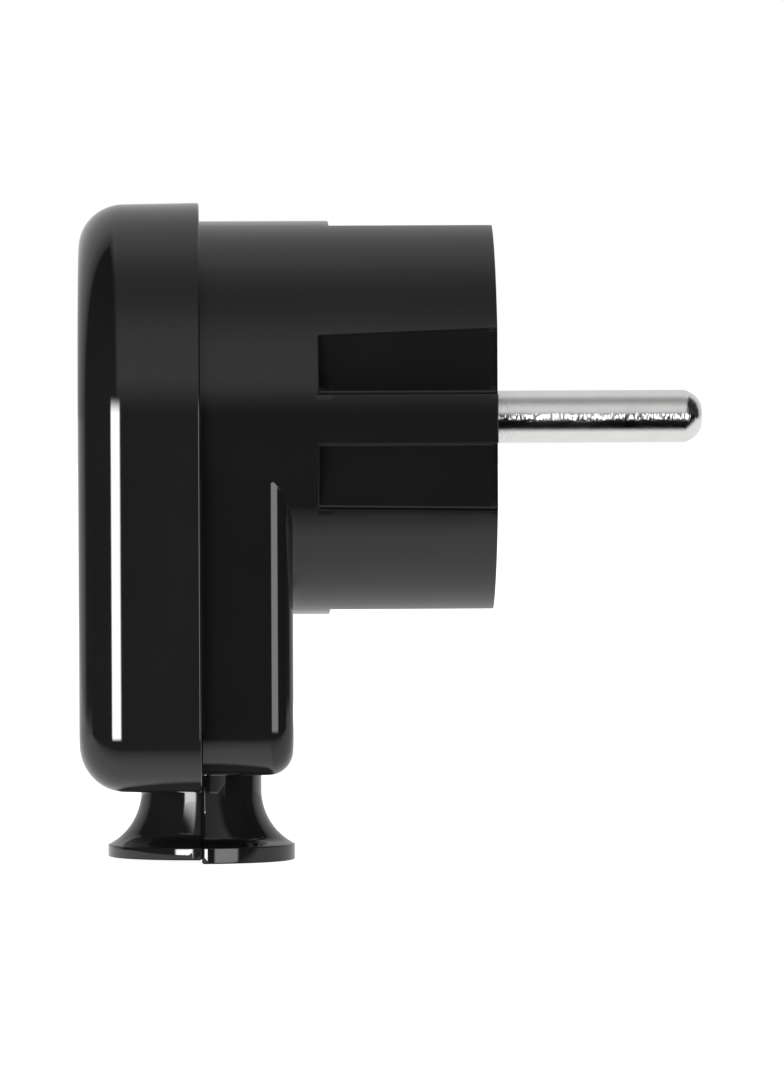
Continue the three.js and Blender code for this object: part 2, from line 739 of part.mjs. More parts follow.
const group = new THREE.Group();
group.name = 'right_angle_mains_plug';
group.add(frontBody(), rearCover(), contactCarrier(), earthStrap(), earthPinSocket(), cordClampBar());
group.add(clampWasher('earth_clamp_washer', strapRearX, 0, EARTH_TERMINAL_Z));
group.add(
  crossHeadScrew(
    'earth_terminal_screw', -1, TERMINAL_HEAD, EARTH_SHANK, strapRearX - washerStack, 0, EARTH_TERMINAL_Z,
  ),
);
group.add(...housingFasteners('face', FACE_SCREW, FACE_NUT_X, FACE_SCREW.y));
for (const side of SIDES) {
  const label = side < 0 ? 'a' : 'b';
  const y = side * PIN.y;
  const screwX = plateRearX - washerStack;
  const clampY = side * CORD_CLAMP.screwY;
  group.add(powerPin(`power_pin_${label}`, side));
  group.add(terminalPlate(`terminal_plate_${label}`, side));
  group.add(clampWasher(`clamp_washer_${label}`, plateRearX, y, 0));
  group.add(crossHeadScrew(`terminal_screw_${label}`, -1, TERMINAL_HEAD, TERMINAL_SHANK, screwX, y, 0));
  group.add(
    crossHeadScrew(
      `cord_clamp_screw_${label}`, -1, CORD_HEAD, CORD_CLAMP.shank, clampSeatX, clampY, CORD_CLAMP.z,
    ),
  );
  group.add(...housingFasteners(`leg_${label}`, LEG_SCREW, LEG_NUT_X, side * LEG_SCREW.y));
}

export default group;
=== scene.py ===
"""Right-angle rewirable earthed mains plug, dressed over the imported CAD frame."""
import math

import bmesh
import bpy
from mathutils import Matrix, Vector


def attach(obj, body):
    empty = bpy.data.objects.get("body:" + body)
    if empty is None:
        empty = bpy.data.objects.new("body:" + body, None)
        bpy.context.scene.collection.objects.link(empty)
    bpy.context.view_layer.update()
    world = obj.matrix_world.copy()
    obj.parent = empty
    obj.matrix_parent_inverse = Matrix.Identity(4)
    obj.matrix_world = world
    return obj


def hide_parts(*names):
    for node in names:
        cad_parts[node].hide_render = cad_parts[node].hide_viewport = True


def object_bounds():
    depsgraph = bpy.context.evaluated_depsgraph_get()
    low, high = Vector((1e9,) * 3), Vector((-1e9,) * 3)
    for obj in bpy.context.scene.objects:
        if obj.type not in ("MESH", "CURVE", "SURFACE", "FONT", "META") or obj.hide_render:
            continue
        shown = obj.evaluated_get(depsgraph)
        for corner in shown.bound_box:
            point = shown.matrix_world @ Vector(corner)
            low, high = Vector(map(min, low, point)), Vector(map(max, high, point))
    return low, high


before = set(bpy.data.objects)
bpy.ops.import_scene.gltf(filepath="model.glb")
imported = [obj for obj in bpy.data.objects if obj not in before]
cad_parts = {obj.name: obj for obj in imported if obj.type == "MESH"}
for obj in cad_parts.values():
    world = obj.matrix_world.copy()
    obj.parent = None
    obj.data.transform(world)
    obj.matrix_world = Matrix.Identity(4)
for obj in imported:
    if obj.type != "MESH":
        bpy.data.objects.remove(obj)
CAD_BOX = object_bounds()

MM = 0.001
SIDES = (-1, 1)

# ---------- sizes shared with the CAD model, in millimetres ----------

RADIUS = 18.3
WALL = 2.2
PARTING = -27.1
LEDGE = -16.8
FACE_WALL = 3.0
LEG_FRONT, LEG_BOTTOM, LEG_CORNER, LEG_ROUNDING, LEG_HALF = -18.7, -32.7, 4.5, 2.3, 17.4
COVER_RADIUS, COVER_BACK, COVER_BOTTOM, COVER_CORNER, COVER_WALL = 20.0, -38.25, -34.2, 5.5, 2.6
GROOVE_HALF, GROOVE_FLOOR, GROOVE_REAR, NOSE_FLOOR, NOSE_X = 4.3, 15.45, -15.1, 16.2, -1.0
RECESS_FLOOR, RECESS_REAR = 15.9, -16.3
EDGE = 0.14
MOUTH_BORE, MOUTH_FLARE_TOP, MOUTH_OPENING = 4.5, -36.5, 7.3
LIP_TOP, FRONT_LIP_BOTTOM, REAR_LIP_BOTTOM = -39.55, -41.05, -40.7
PIN_Y = 9.5
FACE_SCREW = (0.0, -8.5)
LEG_SCREW = (12.2, -27.0)
CLAMP_SCREW = (8.6, -19.2)
EARTH_Z = -1.0
SOCKET_Z = 10.0


# ---------- mesh building ----------

def link(name, mesh):
    obj = bpy.data.objects.new(name, mesh)
    bpy.context.scene.collection.objects.link(obj)
    return obj


def mesh_object(name, points, faces):
    """An object from points in millimetres, with its faces turned outwards."""
    mesh = bpy.data.meshes.new(name)
    mesh.from_pydata([tuple(c * MM for c in p) for p in points], [], faces)
    bm = bmesh.new()
    bm.from_mesh(mesh)
    bmesh.ops.recalc_face_normals(bm, faces=bm.faces)
    bm.to_mesh(mesh)
    bm.free()
    return link(name, mesh)


def loft(name, rings, closed=False):
    """Skins rings of equally many points; open ends are capped flat."""
    count = len(rings[0])
    points = [p for ring in rings for p in ring]
    faces = []
    for k in range(len(rings) if closed else len(rings) - 1):
        near, far = k * count, ((k + 1) % len(rings)) * count
        for i in range(count):
            j = (i + 1) % count
            faces.append((near + i, near + j, far + j, far + i))
    if not closed:
        faces.append(tuple(range(count)))
        faces.append(tuple(range(len(points) - count, len(points))))
    return mesh_object(name, points, faces)


def arc(u, v, radius, start, stop, steps):
    """Points on an arc, angles in degrees, both ends included."""
    angles = [math.radians(start + (stop - start) * i / steps) for i in range(steps + 1)]
    return [(u + radius * math.cos(a), v + radius * math.sin(a)) for a in angles]


def turned_x(name, profile, y=0.0, z=0.0, facets=64, closed=False):
    """Revolves (x, radius) points about an axis along X."""
    rings = []
    for x, r in profile:
        rings.append([(x, y + p, z + q) for p, q in arc(0, 0, r, 0, 360 - 360 / facets, facets - 1)])
    return loft(name, rings, closed)


def rod(x0, x1, radius, y=0.0, z=0.0, facets=48):
    return turned_x("cutter", [(x0, radius), (x1, radius)], y, z, facets)


def block(low, high):
    x0, y0, z0 = low
    x1, y1, z1 = high
    ring = [(y0, z0), (y1, z0), (y1, z1), (y0, z1)]
    return loft("cutter", [[(x0, y, z) for y, z in ring], [(x1, y, z) for y, z in ring]])


def bake(obj):
    """Applies every modifier of the object to its mesh."""
    graph = bpy.context.evaluated_depsgraph_get()
    mesh = bpy.data.meshes.new_from_object(obj.evaluated_get(graph))
    obj.modifiers.clear()
    old, obj.data = obj.data, mesh
    bpy.data.meshes.remove(old)


def combine(obj, tools, operation):
    """Joins the tools to the object or cuts them from it, and removes the tools."""
    for tool in tools:
        mod = obj.modifiers.new("combine", "BOOLEAN")
        mod.operation = operation
        mod.solver = "MANIFOLD"
        mod.object = tool
    bake(obj)
    for tool in tools:
        mesh = tool.data
        bpy.data.objects.remove(tool)
        bpy.data.meshes.remove(mesh)
    return obj


def finish_surface(obj, material, bevel=0.0, angle=32):
    """Smooth shading with flat faces kept flat, a small edge bevel if asked, and the material."""
    if bevel:
        mod = obj.modifiers.new("edges", "BEVEL")
        mod.width = bevel * MM
        mod.segments = 3
        mod.limit_method = "ANGLE"
        mod.angle_limit = math.radians(angle)
        mod.use_clamp_overlap = True
        bake(obj)
    for poly in obj.data.polygons:
        poly.use_smooth = True
    obj.data.set_sharp_from_angle(angle=math.radians(angle))
    mod = obj.modifiers.new("normals", "WEIGHTED_NORMAL")
    mod.keep_sharp = True
    mod.weight = 100
    bake(obj)
    normals = [corner.vector.copy() for corner in obj.data.corner_normals]
    for poly in obj.data.polygons:
        if max(abs(poly.normal.x), abs(poly.normal.z)) > 0.99999:
            for loop in poly.loop_indices:
                normals[loop] = poly.normal.copy()
    obj.data.normals_split_custom_set(normals)
    obj.data.materials.clear()
    obj.data.materials.append(material)
    return obj


# ---------- shell outlines ----------

def arch(radius, bottom, corner, rows=()):
    """Outline points in Y and Z with outward normals: half round, straight sides, round corners.

    Rows are heights of extra points on the straight sides, from the top down.
    """
    def rounded(centre_y, centre_z, r, start, stop, steps):
        points = []
        for i in range(steps + 1):
            a = math.radians(start + (stop - start) * i / steps)
            points.append((centre_y + r * math.cos(a), centre_z + r * math.sin(a), math.cos(a), math.sin(a)))
        return points

    points = rounded(0, 0, radius, 0, 180, 120)
    points += [(-radius, z, -1, 0) for z in rows]
    points += rounded(corner - radius, bottom + corner, corner, 180, 270, 16)
    points += rounded(radius - corner, bottom + corner, corner, 270, 360, 16)
    return points + [(radius, z, 1, 0) for z in reversed(rows)]


def ring_of(outline, x, inset):
    return [(x, y - ny * inset, z - nz * inset) for y, z, ny, nz in outline]


def arch_prism(radius, bottom, corner, x0, x1):
    outline = arch(radius, bottom, corner)
    return loft("cutter", [ring_of(outline, x0, 0), ring_of(outline, x1, 0)])


def recess_bounds(x):
    """Lower and upper Z of the two side recesses at x; the outer edges open towards the face."""
    t = max(0.0, min(1.0, (x - RECESS_REAR) / -RECESS_REAR))
    return (-8.3 - 0.2 * t, -2.4), (2.1, 7.4 + 0.6 * t)


def circle_z(y, sign):
    return sign * math.sqrt(RADIUS ** 2 - y ** 2)


def recess_points(low, high):
    """Section of one side recess, bottom to top, as (kind, on circle, in recess)."""
    e, c, floor = EDGE, 0.35, RECESS_FLOOR
    z0, z1 = low - e, high + e
    y0, y1 = (math.sqrt((RADIUS - e) ** 2 - z ** 2) for z in (z0, z1))
    path = arc(y0, z0, e, math.degrees(math.atan2(z0, y0)), 90, 4)
    path += [(y0 + (floor + c - y0) * k / 3, low) for k in (1, 2)]
    path += arc(floor + c, low + c, c, 270, 180, 4)
    path += [(floor, low + c + (high - low - 2 * c) * k / 6) for k in range(1, 6)]
    path += arc(floor + c, high - c, c, 180, 90, 4)
    path += [(floor + c + (y1 - floor - c) * k / 3, high) for k in (1, 2)]
    path += arc(y1, z1, e, -90, math.degrees(math.atan2(z1, y1)), 4)
    points = []
    last = -99.0
    for y, z in path:
        last = max(z, last + 0.01)
        points.append(("recess", (math.sqrt(RADIUS ** 2 - last ** 2), last), (y, z)))
    return points


def groove_points(floor):
    """Right half of the top groove's section, from its edge to the middle."""
    e, c, half = EDGE, 0.35, GROOVE_HALF
    yc = half + e
    zc = math.sqrt((RADIUS - e) ** 2 - yc ** 2)
    path = arc(yc, zc, e, math.degrees(math.atan2(zc, yc)), 180, 5)
    path += [(half, zc + (floor + c - zc) * k / 3) for k in (1, 2)]
    path += arc(half - c, floor + c, c, 0, -90, 4)
    path += [((half - c) * (1 - k / 4), floor) for k in range(1, 5)]
    points = []
    last = 99.0
    for y, z in path:
        last = min(y, last - 0.01)
        points.append(("groove", (last, circle_z(last, 1)), (y, z)))
    points[-1] = ("groove", (0.0, RADIUS), (0.0, floor))
    return points


def plain_arc(start, stop, steps):
    """Round stretch of the section strictly between two angles."""
    points = arc(0, 0, RADIUS, start, stop, steps)[1:-1]
    return [("round", p, p) for p in points]


def barrel_section(x, groove_floor):
    """Whole section of the round plug part at x as (kind, on circle, in notch)."""
    top = groove_points(groove_floor)
    bottom = [(kind, (c[0], -c[1]), (n[0], -n[1])) for kind, c, n in reversed(top)]
    lower, upper = (recess_points(low, high) for low, high in recess_bounds(x))
    half = list(bottom)
    for feature, steps in ((lower, 32), (upper, 8), (top, 34)):
        before, after = half[-1][1], feature[0][1]
        start = math.degrees(math.atan2(before[1], before[0]))
        stop = math.degrees(math.atan2(after[1], after[0]))
        half += plain_arc(start, stop, steps) + feature
    mirrored = [(kind, (-c[0], c[1]), (-n[0], n[1])) for kind, c, n in reversed(half)]
    return half + mirrored[1:-1]


def barrel_ring(x, limits, groove_floor=GROOVE_FLOOR):
    """Section points at x, each notch sunk no deeper than its limit."""
    ring = []
    for kind, (cy, cz), (ny, nz) in barrel_section(x, groove_floor):
        depth = math.hypot(ny - cy, nz - cz)
        share = min(1.0, limits.get(kind, 0.0) / depth) if depth > 1e-9 else 0.0
        ring.append((x, cy + (ny - cy) * share, cz + (nz - cz) * share))
    return ring


def inset_ring(ring, x, inset):
    """The same outline moved inwards in its own plane, to roll an edge over."""
    count = len(ring)
    moved = []
    for i, (_, y, z) in enumerate(ring):
        _, ya, za = ring[i - 1]
        _, yb, zb = ring[(i + 1) % count]
        ty, tz = yb - ya, zb - za
        size = math.hypot(ty, tz)
        moved.append((x, y - inset * tz / size, z + inset * ty / size))
    return moved


def plug_barrel():
    """Round plug part with side recesses, earth grooves and a rolled front edge."""
    full = {"recess": 9.0, "groove": 9.0}
    rear = RECESS_REAR - 1
    rings = [barrel_ring(PARTING + (rear - PARTING) * i / 16, {}) for i in range(17)]
    steps = 4
    for i in range(steps + 1):
        a = math.radians(90 * i / steps)
        x = RECESS_REAR - EDGE * (1 - math.sin(a))
        rings.append(barrel_ring(x, {"recess": EDGE * (1 - math.cos(a))}))
    rings.append(barrel_ring(RECESS_REAR, {"recess": 9.0}))
    for i in range(steps + 1):
        a = math.radians(90 * i / steps)
        x = GROOVE_REAR - EDGE * (1 - math.sin(a))
        rings.append(barrel_ring(x, {"recess": 9.0, "groove": EDGE * (1 - math.cos(a))}))
    rings.append(barrel_ring(GROOVE_REAR, full))
    for i in range(1, 6):
        rings.append(barrel_ring(GROOVE_REAR + (NOSE_X - GROOVE_REAR) * i / 5, full))
    rings.append(barrel_ring(NOSE_X, full, NOSE_FLOOR))
    roll = 0.08
    edge = barrel_ring(-roll, full, NOSE_FLOOR)
    rings.append(edge)
    for i in range(1, 5):
        a = math.radians(90 * i / 4)
        rings.append(inset_ring(edge, -roll + roll * math.sin(a), roll * (1 - math.cos(a))))
    return loft("front_shell", rings)


def leg_block():
    """Leg behind the round part, its front edge rounded; its top hides inside the round part."""
    outline = arch(LEG_HALF, LEG_BOTTOM, LEG_CORNER, [-0.35 * k for k in range(8, 34)])
    lip = 0.12
    rings = [ring_of(outline, PARTING, lip), ring_of(outline, PARTING + lip, 0)]
    for i in range(17):
        a = math.radians(90 * i / 16)
        x = LEG_FRONT - LEG_ROUNDING * (1 - math.sin(a))
        rings.append(ring_of(outline, x, LEG_ROUNDING * (1 - math.cos(a))))
    return loft("cutter", rings)


# ---------- bell mouth ----------

def mouth_section(top, lip_top, lip_bottom, base, draft, curl, spread):
    """Closed (half width along X, half depth along Y, z) outline of the outlet wall.

    Sideways the wall flares in an arc; on the near and far side it leans out only a little down to the lip.
    """
    def deep(z):
        down = -33 - z
        late = max(0.0, (spread - z) / (spread + 39.5))
        return base + draft * down + curl * down ** 2 + 2.3 * late ** 2

    path = [(5.6, deep(top - (top + 34.6) * k / 4), top - (top + 34.6) * k / 4) for k in range(4)]
    for i in range(25):
        drop = 4.9 * i / 24
        wide = 11.2 - math.sqrt(5.6 ** 2 - drop ** 2)
        path.append((wide, min(wide, deep(-34.6 - drop)), -34.6 - drop))
    r = 0.12
    corner = arc(8.7 - r, lip_top - r, r, 70, 0, 4) + arc(8.7 - r, lip_bottom + r, r, 0, -90, 4)
    path += [(w, w - 0.25, z) for w, z in corner]
    depth = MOUTH_FLARE_TOP - lip_bottom
    path.append((MOUTH_OPENING + 0.2, MOUTH_OPENING + 0.2, lip_bottom))
    for i in range(15):
        down = math.sin(math.radians(90 * (14 - i) / 14))
        w = MOUTH_BORE + (MOUTH_OPENING - MOUTH_BORE) * (1 - math.sqrt(max(0, 1 - down ** 2)))
        path.append((w, w, MOUTH_FLARE_TOP - depth * down))
    path.append((MOUTH_BORE, MOUTH_BORE, top))
    return path


def mouth_half(side, path):
    """Half of the bell mouth on one side of the parting plane, its seam edges eased."""
    ease = 0.14
    sweep = []
    plain = [(-85 + 170 * i / 56, 0) for i in range(57)]
    for angle, inset in [(-90, ease), (-89, 0)] + plain + [(89, 0), (90, ease)]:
        a = math.radians(angle)
        ring = []
        for i, (w, d, z) in enumerate(path):
            wa, _, za = path[i - 1]
            wb, _, zb = path[(i + 1) % len(path)]
            tw, tz = wb - wa, zb - za
            size = math.hypot(tw, tz) or 1.0
            out, drop = inset * tz / size, inset * tw / size
            ring.append((PARTING + side * (w + out) * math.cos(a), (d + out) * math.sin(a), z - drop))
        sweep.append(ring)
    return loft("cutter", sweep)


# ---------- materials ----------

def node_material(name, base, roughness, metallic=0.0):
    mat = bpy.data.materials.new(name)
    mat.use_nodes = True
    shader = mat.node_tree.nodes["Principled BSDF"]
    shader.inputs["Base Color"].default_value = (*base, 1)
    shader.inputs["Roughness"].default_value = roughness
    shader.inputs["Metallic"].default_value = metallic
    return mat, mat.node_tree, shader


def object_coords(tree, scale):
    """Object coordinates stretched by a scale, for textures in real size."""
    coords = tree.nodes.new("ShaderNodeTexCoord")
    mapping = tree.nodes.new("ShaderNodeMapping")
    mapping.inputs["Scale"].default_value = scale
    tree.links.new(coords.outputs["Object"], mapping.inputs["Vector"])
    return mapping.outputs["Vector"]


def noise(tree, vector, scale, detail=2.0, rough=0.5):
    tex = tree.nodes.new("ShaderNodeTexNoise")
    tex.inputs["Scale"].default_value = scale
    tex.inputs["Detail"].default_value = detail
    tex.inputs["Roughness"].default_value = rough
    tree.links.new(vector, tex.inputs["Vector"])
    return tex.outputs["Fac"]


def ramp(tree, value, stops):
    node = tree.nodes.new("ShaderNodeValToRGB")
    elements = node.color_ramp.elements
    while len(elements) < len(stops):
        elements.new(0.5)
    for element, (place, colour) in zip(elements, stops):
        element.position = place
        element.color = (*colour, 1)
    tree.links.new(value, node.inputs["Fac"])
    return node.outputs["Color"]


def remap(tree, value, low, high, out_low, out_high):
    node = tree.nodes.new("ShaderNodeMapRange")
    for key, number in (("From Min", low), ("From Max", high), ("To Min", out_low), ("To Max", out_high)):
        node.inputs[key].default_value = number
    tree.links.new(value, node.inputs["Value"])
    return node.outputs["Result"]


def calc(tree, kind, a, b=None):
    """A math node; each input is a number or a socket."""
    node = tree.nodes.new("ShaderNodeMath")
    node.operation = kind
    for slot, value in ((0, a), (1, b)):
        if isinstance(value, (int, float)):
            node.inputs[slot].default_value = value
        elif value is not None:
            tree.links.new(value, node.inputs[slot])
    return node.outputs["Value"]


def bump(tree, shader, height, strength, distance, chain=None):
    node = tree.nodes.new("ShaderNodeBump")
    node.inputs["Strength"].default_value = strength
    node.inputs["Distance"].default_value = distance
    tree.links.new(height, node.inputs["Height"])
    if chain is not None:
        tree.links.new(chain, node.inputs["Normal"])
    tree.links.new(node.outputs["Normal"], shader.inputs["Normal"])
    return node.outputs["Normal"]


def gloss_black(name, tone):
    """High-gloss black moulding: a trace of flow marks in colour, haze and surface."""
    mat, tree, shader = node_material(name, (tone, tone, tone), 0.05)
    shader.inputs["IOR"].default_value = 1.5
    flow = noise(tree, object_coords(tree, (60, 60, 45)), 1.6, 3)
    dark, light = 0.91 * tone, 1.09 * tone
    tree.links.new(ramp(tree, flow, [(0.3, (dark, dark, dark * 1.03)), (0.7, (light, light, light * 1.03))]),
                   shader.inputs["Base Color"])
    haze = noise(tree, object_coords(tree, (900, 900, 900)), 1.0, 2)
    tree.links.new(remap(tree, haze, 0.3, 0.7, 0.035, 0.07), shader.inputs["Roughness"])
    peel = noise(tree, object_coords(tree, (420, 420, 420)), 1.0, 1)
    bump(tree, shader, peel, 0.06, 0.00002)
    return mat


def turned_nickel():
    """Bright nickel over turned brass: fine tool rings round the pin, broken up into short nicks."""
    mat, tree, shader = node_material("turned_nickel", (0.92, 0.92, 0.91), 0.12, 1.0)
    rings = noise(tree, object_coords(tree, (9000, 700, 700)), 1.0, 2, 0.6)
    patch = noise(tree, object_coords(tree, (500, 700, 700)), 1.0, 2)
    tone = ramp(tree, patch, [(0.3, (0.89, 0.89, 0.88)), (0.7, (0.95, 0.95, 0.94))])
    tree.links.new(tone, shader.inputs["Base Color"])
    tree.links.new(remap(tree, patch, 0.3, 0.7, 0.13, 0.20), shader.inputs["Roughness"])
    scratch = noise(tree, object_coords(tree, (9000, 2000, 2000)), 1.0, 1, 0.6)
    nicks = remap(tree, scratch, 0.52, 0.66, 0.0, 1.0)
    bump(tree, shader, nicks, 1.0, 0.000004, bump(tree, shader, rings, 0.7, 0.000016))
    return mat


def bright_plating():
    """Nickel plated strip: faint rolling lines along the strip."""
    mat, tree, shader = node_material("bright_plating", (0.74, 0.735, 0.72), 0.2, 1.0)
    lines = noise(tree, object_coords(tree, (300, 5000, 300)), 1.0, 2)
    tree.links.new(ramp(tree, lines, [(0.3, (0.70, 0.695, 0.68)), (0.7, (0.78, 0.775, 0.76))]),
                   shader.inputs["Base Color"])
    tree.links.new(remap(tree, lines, 0.3, 0.7, 0.15, 0.28), shader.inputs["Roughness"])
    bump(tree, shader, lines, 0.3, 0.00001)
    return mat


def satin_brass():
    mat, tree, shader = node_material("satin_brass", (0.72, 0.50, 0.19), 0.28, 1.0)
    cloud = noise(tree, object_coords(tree, (500, 500, 500)), 1.0, 4, 0.6)
    tree.links.new(ramp(tree, cloud, [(0.3, (0.60, 0.40, 0.14)), (0.7, (0.80, 0.58, 0.25))]),
                   shader.inputs["Base Color"])
    grain = noise(tree, object_coords(tree, (400, 7000, 400)), 1.0, 2)
    tree.links.new(remap(tree, grain, 0.3, 0.7, 0.20, 0.36), shader.inputs["Roughness"])
    bump(tree, shader, grain, 0.3, 0.00001)
    return mat


def zinc_steel():
    mat, tree, shader = node_material("zinc_steel", (0.62, 0.64, 0.67), 0.3, 1.0)
    spangle = noise(tree, object_coords(tree, (1800, 1800, 1800)), 1.0, 3, 0.6)
    tree.links.new(ramp(tree, spangle, [(0.3, (0.50, 0.52, 0.55)), (0.7, (0.74, 0.75, 0.77))]),
                   shader.inputs["Base Color"])
    tree.links.new(remap(tree, spangle, 0.3, 0.7, 0.22, 0.38), shader.inputs["Roughness"])
    bump(tree, shader, spangle, 0.2, 0.00001)
    return mat


def moulded_matt(name, dark, light, roughness):
    """Matt moulding compound with a fine eroded grain."""
    mat, tree, shader = node_material(name, light, roughness)
    speck = noise(tree, object_coords(tree, (2200, 2200, 2200)), 1.0, 3, 0.7)
    tree.links.new(ramp(tree, speck, [(0.3, dark), (0.7, light)]), shader.inputs["Base Color"])
    spread = remap(tree, speck, 0.3, 0.7, roughness - 0.08, roughness + 0.08)
    tree.links.new(spread, shader.inputs["Roughness"])
    bump(tree, shader, speck, 0.25, 0.00003)
    return mat


BODY_BLACK = gloss_black("body_black", 0.009)
# The cover uses the body's black in a lighter tone: painted light, a brighter copy of the same moulding.
COVER_BLACK_LIT = gloss_black("cover_black_lit", 0.0118)
NICKEL = turned_nickel()
PLATING = bright_plating()
BRASS = satin_brass()
STEEL = zinc_steel()
CARRIER = moulded_matt("carrier_compound", (0.52, 0.50, 0.44), (0.66, 0.64, 0.58), 0.5)
CLAMP = moulded_matt("clamp_nylon", (0.055, 0.057, 0.06), (0.085, 0.088, 0.093), 0.55)


# ---------- front body ----------

def cable_bore(lip_bottom, top):
    profile = [(lip_bottom - 1, MOUTH_OPENING + 0.2), (lip_bottom, MOUTH_OPENING + 0.2)]
    depth = MOUTH_FLARE_TOP - lip_bottom
    for i in range(15):
        down = math.sin(math.radians(90 * (14 - i) / 14))
        widen = (MOUTH_OPENING - MOUTH_BORE) * (1 - math.sqrt(max(0, 1 - down ** 2)))
        profile.append((MOUTH_FLARE_TOP - depth * down, MOUTH_BORE + widen))
    profile.append((top, MOUTH_BORE))
    rings = [[(PARTING + y, z, height) for y, z in arc(0, 0, r, 0, 352.5, 47)] for height, r in profile]
    return loft("cutter", rings)


def counterbored(seat, front, y, z):
    """Cutter for a recessed screw head, its rim slightly chamfered."""
    return turned_x("cutter", [(seat, 3.2), (front - 0.2, 3.2), (front + 0.6, 4.0)], y, z, 64)


def front_shell():
    shell = plug_barrel()
    tongue = arch_prism(17.0, LEG_BOTTOM + WALL - 0.9, LEG_CORNER - WALL + 0.9, PARTING - 1.5, PARTING + 1.5)
    combine(tongue, [block((-40, -30, -50), (0, 30, -20))], "DIFFERENCE")
    mouth = mouth_half(1, mouth_section(-32.2, LIP_TOP, FRONT_LIP_BOTTOM, 5.12, 0.14, 0.0, -39.0))
    combine(shell, [leg_block(), mouth, tongue], "UNION")
    cavities = [
        arch_prism(LEG_HALF - WALL, LEG_BOTTOM + WALL, LEG_CORNER - WALL, PARTING - 3, LEG_FRONT - WALL),
        rod(PARTING - 3, LEDGE, RADIUS - WALL, facets=120),
        rod(LEDGE - 1, -FACE_WALL, 13.4, facets=96),
    ]
    for side in SIDES:
        low, high = sorted((side * GROOVE_FLOOR, side * 16.55))
        cavities.append(block((PARTING - 3, -3.45, low), (GROOVE_REAR + 1, 3.45, high)))
    combine(shell, cavities, "DIFFERENCE")
    bosses = [rod(-16.7, -1.5, 4.3, *FACE_SCREW), rod(-6, -1.5, 4.3, 0, SOCKET_Z)]
    bores = [
        rod(-17.7, 1, 1.6, *FACE_SCREW), counterbored(-4, 0, *FACE_SCREW),
        turned_x("cutter", [(-7, 3.25), (-0.25, 3.25), (0.5, 4.0)], 0, SOCKET_Z, 64),
        cable_bore(FRONT_LIP_BOTTOM, -16.5),
    ]
    for side in SIDES:
        leg = (side * LEG_SCREW[0], LEG_SCREW[1])
        clamp = (side * CLAMP_SCREW[0], CLAMP_SCREW[1])
        bosses += [rod(-13.5, -1.5, 4.2, side * PIN_Y), rod(PARTING, -19.7, 4.3, *leg)]
        bosses.append(rod(-26, -19.7, 2.8, *clamp))
        rib_z = CLAMP_SCREW[1] + side * 1.8
        bosses.append(block((-24.6, -5, rib_z - 0.5), (-19.7, 5, rib_z + 0.5)))
        bores += [rod(-14.5, 1, 2.45, side * PIN_Y), rod(PARTING - 1, LEG_FRONT + 1, 1.6, *leg)]
        bores += [counterbored(-21.8, LEG_FRONT, *leg), rod(-27, -19.8, 1.6, *clamp)]
    combine(shell, bosses, "UNION")
    combine(shell, bores, "DIFFERENCE")
    return finish_surface(shell, BODY_BLACK, angle=58)


# ---------- rear cover ----------

def cover_skin():
    """Outer form of the rear cover: eased rim, slight draft, rounded back edge."""
    outline = arch(COVER_RADIUS, COVER_BOTTOM, COVER_CORNER)
    rim, draft = 0.22, math.tan(math.radians(0.9))
    rings = []
    for i in range(5):
        a = math.radians(90 * i / 4)
        rings.append(ring_of(outline, PARTING - rim * (1 - math.cos(a)), rim * (1 - math.sin(a))))
    start = COVER_BACK + 4.2
    for i in range(1, 4):
        x = PARTING - rim + (start - PARTING + rim) * i / 3
        rings.append(ring_of(outline, x, (PARTING - rim - x) * draft))
    base = (PARTING - rim - start) * draft
    for i in range(1, 17):
        a = math.radians(90 * i / 16)
        ring = []
        for y, z, ny, nz in outline:
            r = 4.05 + 0.35 * max(0.0, -nz)
            inset = base + r * (1 - math.cos(a))
            x = COVER_BACK + 4.2 * (1 - math.sin(a))
            ring.append((x, y - ny * inset, z - nz * inset))
        rings.append(ring)
    return loft("rear_shell", rings)


def rear_shell():
    shell = cover_skin()
    mouth = mouth_half(-1, mouth_section(-33.3, LIP_TOP, REAR_LIP_BOTTOM, 5.33, 0.063, 0.0044, -38.5))
    combine(shell, [mouth], "UNION")
    half, corner = COVER_RADIUS - COVER_WALL, COVER_CORNER - COVER_WALL
    cavity = arch_prism(half, COVER_BOTTOM + COVER_WALL, corner, COVER_BACK + COVER_WALL, -20)
    combine(shell, [cavity], "DIFFERENCE")
    places = [(-29.0, -30.2, *FACE_SCREW)] + [(-27.3, -28.6, s * LEG_SCREW[0], LEG_SCREW[1]) for s in SIDES]
    solids = [rod(-30, -21.7, 3.0, *FACE_SCREW)]
    cutters = [cable_bore(REAR_LIP_BOTTOM, -31)]
    for front, nut, y, z in places:
        solids.append(block((-37.1, y - 4.3, z - 4.3), (front, y + 4.3, z + 4.3)))
        cutters.append(block((nut - 2.5, y - 2.9, z - 2.9), (nut + 0.1, y + 2.9, z + 5.3)))
        cutters.append(rod(nut - 4.2, -20, 1.6, y, z))
    combine(shell, solids, "UNION")
    combine(shell, cutters, "DIFFERENCE")
    return finish_surface(shell, COVER_BLACK_LIT)


# ---------- contacts ----------

def power_pin(name, side):
    """Turned pin: shank, shoulder behind the face, tapped rear end, flattened dome at the tip."""
    y = side * PIN_Y
    profile = [
        (-20.4, 2.1), (-20.1, 2.4), (-16.8, 2.4), (-16.8, 3.4), (-16.6, 3.6), (-13.8, 3.6),
        (-13.6, 3.4), (-13.6, 2.4), (17.35, 2.4), (17.5, 2.385),
    ]
    first = math.radians(25)
    for i in range(1, 13):
        a = first + (math.pi / 2 - first) * i / 12
        x = 17.5 + 1.5 * (math.sin(a) - math.sin(first)) / (1 - math.sin(first))
        profile.append((x, 0.6 + 1.785 * math.cos(a) / math.cos(first)))
    pin = turned_x(name, profile, y, 0, 96)
    combine(pin, [rod(-21, -13.4, 1.6, y, 0)], "DIFFERENCE")
    return finish_surface(pin, NICKEL, angle=18)


